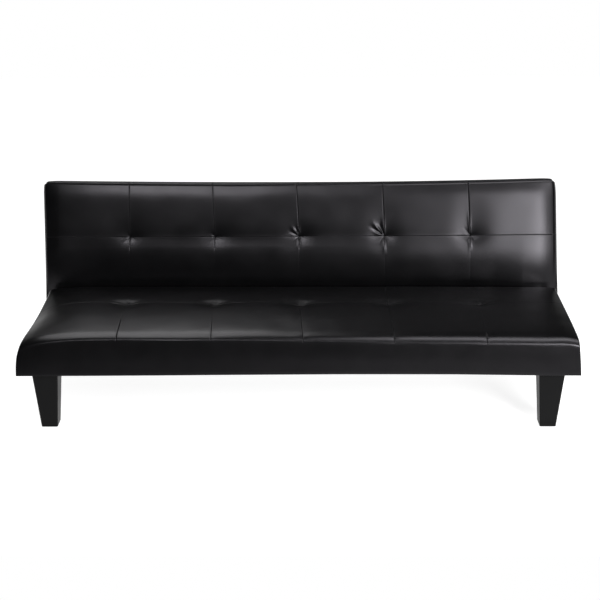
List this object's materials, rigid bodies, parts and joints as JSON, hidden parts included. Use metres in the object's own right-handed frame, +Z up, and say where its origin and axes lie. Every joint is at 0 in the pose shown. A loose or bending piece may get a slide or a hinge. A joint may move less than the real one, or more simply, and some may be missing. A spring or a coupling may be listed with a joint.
{
  "type": "futon sofa bed",
  "caption": "Armless black faux-leather futon sofa bed: quilted, tufted seat and back slabs on tapered block legs; the back folds down flat on ratchet hinges.",
  "frame": {"origin": "on the floor, at the middle of the sofa's footprint box with the back upright", "axes": "+X to the right of someone who faces the sofa, -Y towards its front, +Z up"},
  "size_m": [1.8, 0.7548, 0.6608],
  "materials": {
    "cover": "satin",
    "foam": "matte",
    "pine": "matte",
    "webbing": "matte",
    "cloth": "matte",
    "leg": "satin",
    "black_plastic": "matte",
    "nylon": "satin",
    "black_steel": "satin",
    "zinc_steel": "satin"
  },
  "bodies": {
    "seat_base": {"seat_cover": "cover", "seat_foam": "foam", "seat_front_rail": "pine", "seat_rear_rail": "pine", "seat_end_rails": "pine", "seat_cross_rails": "pine", "seat_corner_blocks": "pine", "seat_webbing": "webbing", "seat_dust_cover": "cloth", "front_leg_left": "leg", "front_leg_right": "leg", "rear_leg_left": "leg", "rear_leg_right": "leg", "leg_glides": "black_plastic", "base_rail_caps": "black_plastic", "base_rail_left": "black_steel", "base_rail_right": "black_steel", "rear_leg_plates": "black_steel", "hinge_base_left": "black_steel", "hinge_base_right": "black_steel", "front_leg_studs": "zinc_steel", "rear_leg_studs": "zinc_steel", "leg_inserts": "zinc_steel", "rear_leg_nuts": "zinc_steel", "base_rail_screws": "zinc_steel", "hinge_pins": "zinc_steel", "pawl_pins": "zinc_steel", "pawl_springs": "zinc_steel"},
    "back": {"back_cover": "cover", "back_foam": "foam", "back_top_rail": "pine", "back_bottom_rail": "pine", "back_inner_stiles": "pine", "back_outer_stiles": "pine", "back_mid_stiles": "pine", "back_bay_blocks": "pine", "back_webbing": "webbing", "back_panel": "cloth", "hinge_arm_left": "black_steel", "hinge_arm_right": "black_steel", "hinge_bushes": "nylon", "hinge_arm_screws": "zinc_steel"},
    "pawl_left_body": {"pawl_left": "zinc_steel"},
    "pawl_right_body": {"pawl_right": "zinc_steel"}
  },
  "joints": [
    {"name": "back_recline", "type": "hinge", "parent": "seat_base", "child": "back", "pos_m": [0, 0.1845, 0.25], "axis": [-1, 0, 0], "range_deg": [-12, 72]},
    {"name": "pawl_right_drop", "type": "hinge", "parent": "seat_base", "child": "pawl_right_body", "pos_m": [0.8, 0.1565, 0.2], "axis": [1, 0, 0], "range_deg": [0, 9], "stiffness_Nm_per_rad": 0.3, "springref_deg": 14.9, "deforming": ["pawl_springs"]},
    {"name": "pawl_left_drop", "type": "hinge", "parent": "seat_base", "child": "pawl_left_body", "pos_m": [-0.8, 0.1565, 0.2], "axis": [1, 0, 0], "range_deg": [0, 9], "stiffness_Nm_per_rad": 0.3, "springref_deg": 14.9}
  ],
  "couplings": [
    {"joint": "pawl_left_drop", "follows": "pawl_right_drop", "ratio": 1}
  ]
}
